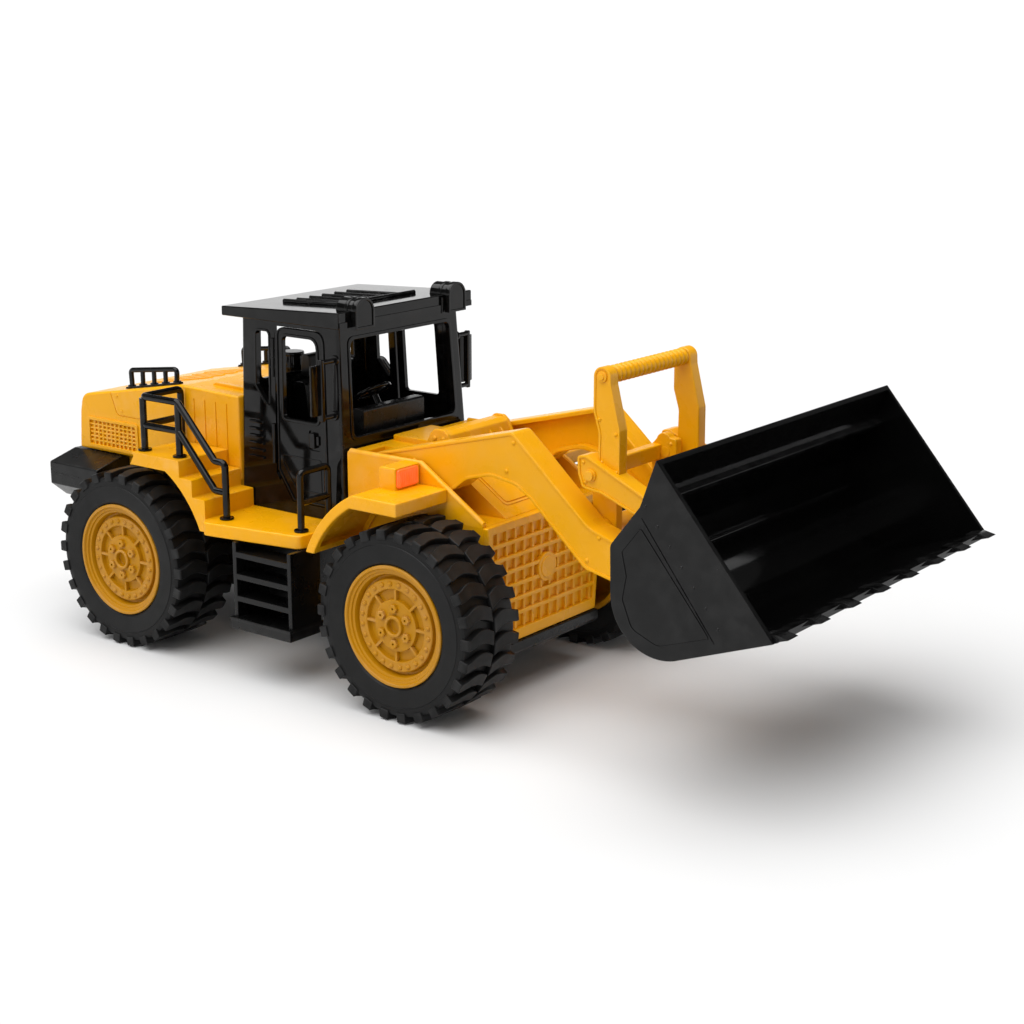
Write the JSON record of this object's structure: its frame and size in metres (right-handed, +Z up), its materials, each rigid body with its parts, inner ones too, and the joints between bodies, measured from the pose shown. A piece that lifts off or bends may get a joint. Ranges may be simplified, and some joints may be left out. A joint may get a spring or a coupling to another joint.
{
  "type": "toy front loader",
  "caption": "Toy front loader with a bucket on lift arms, a grab handle that works the bucket's tilt, an open cab, deck rails and free-rolling treaded wheels.",
  "frame": {"origin": "on the ground under the middle of the loader's overall length and width, bucket included, at rest as stored", "axes": "+X forward towards the bucket, +Y to the loader's left, +Z up"},
  "size_m": [0.567, 0.24, 0.2218],
  "materials": {
    "yellow_plastic": "glossy orange-yellow moulded plastic",
    "black_plastic": "glossy black moulded plastic",
    "tyre_rubber": "satin black soft plastic",
    "orange_lens": "ribbed translucent orange",
    "steel": "plain bright steel pins and screws"
  },
  "bodies": {
    "chassis": {"rear_chassis": "black_plastic", "engine_hood": "yellow_plastic", "counterweight": "black_plastic", "cab_shell": "black_plastic", "cab_roof": "black_plastic", "seat": "black_plastic", "dashboard": "black_plastic", "air_cleaner": "black_plastic", "front_frame": "yellow_plastic", "front_grille": "yellow_plastic", "front_bumper": "black_plastic", "side_deck_left": "yellow_plastic", "side_deck_right": "yellow_plastic", "hood_rail_left": "black_plastic", "hood_rail_right": "black_plastic", "rear_handrail_left": "black_plastic", "rear_handrail_right": "black_plastic", "front_handrail_left": "black_plastic", "front_handrail_right": "black_plastic", "ladder_left": "black_plastic", "ladder_right": "black_plastic", "roof_lamp_left": "black_plastic", "roof_lamp_right": "black_plastic", "mirror_left": "black_plastic", "mirror_right": "black_plastic", "fender_left": "yellow_plastic", "fender_right": "yellow_plastic", "lamp_lens_left": "orange_lens", "lamp_lens_right": "orange_lens", "boom_pivot_pin": "steel", "axle_front": "steel", "axle_rear": "steel", "screw_front": "steel", "screw_rear": "steel"},
    "boom": {"boom_arm_left": "yellow_plastic", "boom_arm_right": "yellow_plastic", "boom_cross_tube": "yellow_plastic", "boom_cross_plate": "yellow_plastic"},
    "rocker": {"rocker": "yellow_plastic"},
    "lever": {"lever_arm_left": "yellow_plastic", "lever_arm_right": "yellow_plastic", "lever_beam": "yellow_plastic", "handle_grip": "yellow_plastic", "link_pin_left": "steel", "link_pin_right": "steel"},
    "bucket": {"bucket": "black_plastic", "cutting_edge": "black_plastic", "bucket_pin_lower": "steel", "bucket_pin_upper": "steel"},
    "door_left": {"door_left": "black_plastic"},
    "door_right": {"door_right": "black_plastic"},
    "steering_wheel": {"steering_wheel": "black_plastic"},
    "wheel_front_left": {"tyre_front_left": "tyre_rubber", "rim_front_left": "yellow_plastic"},
    "wheel_front_right": {"tyre_front_right": "tyre_rubber", "rim_front_right": "yellow_plastic"},
    "wheel_rear_left": {"tyre_rear_left": "tyre_rubber", "rim_rear_left": "yellow_plastic"},
    "wheel_rear_right": {"tyre_rear_right": "tyre_rubber", "rim_rear_right": "yellow_plastic"}
  },
  "joints": [
    {"name": "boom_lift", "type": "hinge", "parent": "chassis", "child": "boom", "pos_m": [-0.0175, 0, 0.122], "axis": [0, -1, 0], "range_deg": [-18, 40]},
    {"name": "bucket_tilt", "type": "hinge", "parent": "boom", "child": "bucket", "pos_m": [0.1745, 0, 0.093], "axis": [0, 1, 0], "range_deg": [-12, 45]},
    {"name": "rocker_swing", "type": "hinge", "parent": "boom", "child": "rocker", "pos_m": [0.1231, 0, 0.11], "axis": [0, 1, 0], "range_deg": [-12, 45]},
    {"name": "lever_pivot", "type": "hinge", "parent": "rocker", "child": "lever", "pos_m": [0.1231, 0, 0.141], "axis": [0, 1, 0], "range_deg": [-45, 12]},
    {"name": "door_left_hinge", "type": "hinge", "parent": "chassis", "child": "door_left", "pos_m": [-0.09636, 0.05532, 0.1495], "axis": [-0.0213, -0.0386, 0.999], "range_deg": [0, 80]},
    {"name": "door_right_hinge", "type": "hinge", "parent": "chassis", "child": "door_right", "pos_m": [-0.09636, -0.05532, 0.1495], "axis": [0.0213, -0.0386, -0.999], "range_deg": [0, 80]},
    {"name": "steering_turn", "type": "hinge", "parent": "chassis", "child": "steering_wheel", "pos_m": [-0.0715, 0, 0.157], "axis": [-0.5, 0, 0.866], "continuous": true},
    {"name": "wheel_front_left_roll", "type": "hinge", "parent": "chassis", "child": "wheel_front_left", "pos_m": [0.0345, 0.086, 0.055], "axis": [0, 1, 0], "continuous": true},
    {"name": "wheel_front_right_roll", "type": "hinge", "parent": "chassis", "child": "wheel_front_right", "pos_m": [0.0345, -0.086, 0.055], "axis": [0, 1, 0], "continuous": true},
    {"name": "wheel_rear_left_roll", "type": "hinge", "parent": "chassis", "child": "wheel_rear_left", "pos_m": [-0.1855, 0.086, 0.055], "axis": [0, 1, 0], "continuous": true},
    {"name": "wheel_rear_right_roll", "type": "hinge", "parent": "chassis", "child": "wheel_rear_right", "pos_m": [-0.1855, -0.086, 0.055], "axis": [0, 1, 0], "continuous": true}
  ],
  "couplings": [
    {"joint": "rocker_swing", "follows": "bucket_tilt", "ratio": 1},
    {"joint": "lever_pivot", "follows": "bucket_tilt", "ratio": -1}
  ]
}
